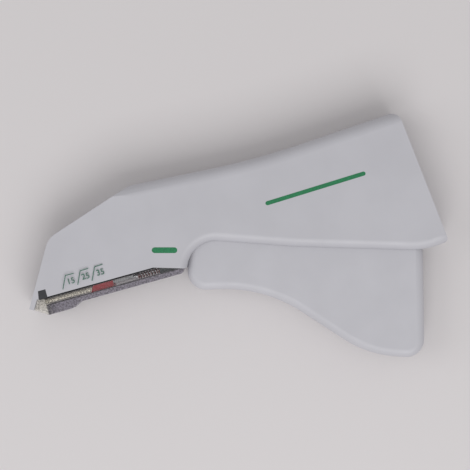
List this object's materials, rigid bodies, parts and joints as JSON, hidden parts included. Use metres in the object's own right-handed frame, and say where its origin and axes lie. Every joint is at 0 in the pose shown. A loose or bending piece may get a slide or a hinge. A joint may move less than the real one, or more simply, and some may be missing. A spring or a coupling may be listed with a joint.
{
  "type": "skin stapler",
  "caption": "Disposable skin stapler lying on its side: squeezing the trigger drives a wire staple from a clear magazine under the nose over an anvil at the tip.",
  "frame": {"origin": "on the trigger's pivot axis, on the outer face of the right shell that the stapler lies on", "axes": "+X to the rear of the handle, +Y up the side of the stapler from the trigger to the handle's back, +Z through the thickness, away from the face that it lies on"},
  "size_m": [0.1605, 0.0939, 0.022],
  "materials": {
    "white_plastic": "fine satin moulded",
    "trigger_plastic": "fine satin moulded",
    "clear_plastic": "clear polished",
    "steel": "stamped, bright",
    "staple_wire": "drawn wire, bright",
    "spring_steel": "oiled spring wire",
    "black_plastic": "moulded",
    "grey_plastic": "moulded",
    "red_plastic": "moulded"
  },
  "bodies": {
    "housing": {"left_housing": "white_plastic", "right_housing": "white_plastic", "trigger_pivot_pin": "steel", "rocker_pin": "steel", "nose_plate": "steel", "driver_guide": "black_plastic", "anvil_plate": "steel", "ejector_spring": "spring_steel", "staples": "staple_wire", "magazine": "clear_plastic", "magazine_pins": "steel", "strip_rivets": "steel", "spring_stop": "grey_plastic", "feeder_spring": "spring_steel", "trigger_return_spring": "spring_steel"},
    "trigger": {"trigger": "trigger_plastic", "drive_pin": "steel"},
    "rocker": {"rocker": "grey_plastic"},
    "driver": {"driver_blade": "steel", "driver_head": "grey_plastic"},
    "feeder": {"feeder_shoe": "red_plastic", "feeder_rod": "steel"}
  },
  "joints": [
    {"name": "trigger_squeeze", "type": "hinge", "parent": "housing", "child": "trigger", "pos_m": [0, 0, 0.011], "axis": [0, 0, 1], "range_deg": [0, 16], "stiffness_Nm_per_rad": 1.5, "springref_deg": -8.59, "deforming": ["trigger_return_spring"]},
    {"name": "rocker_swing", "type": "hinge", "parent": "housing", "child": "rocker", "pos_m": [-0.015, -0.005, 0.011], "axis": [0, 0, 1], "range_deg": [0, 5.82]},
    {"name": "driver_stroke", "type": "slide", "parent": "housing", "child": "driver", "axis": [-0.2571, -0.9664, 0], "range_m": [0, 0.00375]},
    {"name": "feeder_slide", "type": "slide", "parent": "housing", "child": "feeder", "axis": [0.9636, 0.2672, 0], "range_m": [0, 0.005], "stiffness_N_per_m": 60, "springref_m": -0.02, "deforming": ["feeder_spring"]}
  ],
  "couplings": [
    {"joint": "rocker_swing", "follows": "trigger_squeeze", "ratio": 0.36253},
    {"joint": "driver_stroke", "follows": "trigger_squeeze", "m_per_rad": 0.013381}
  ]
}
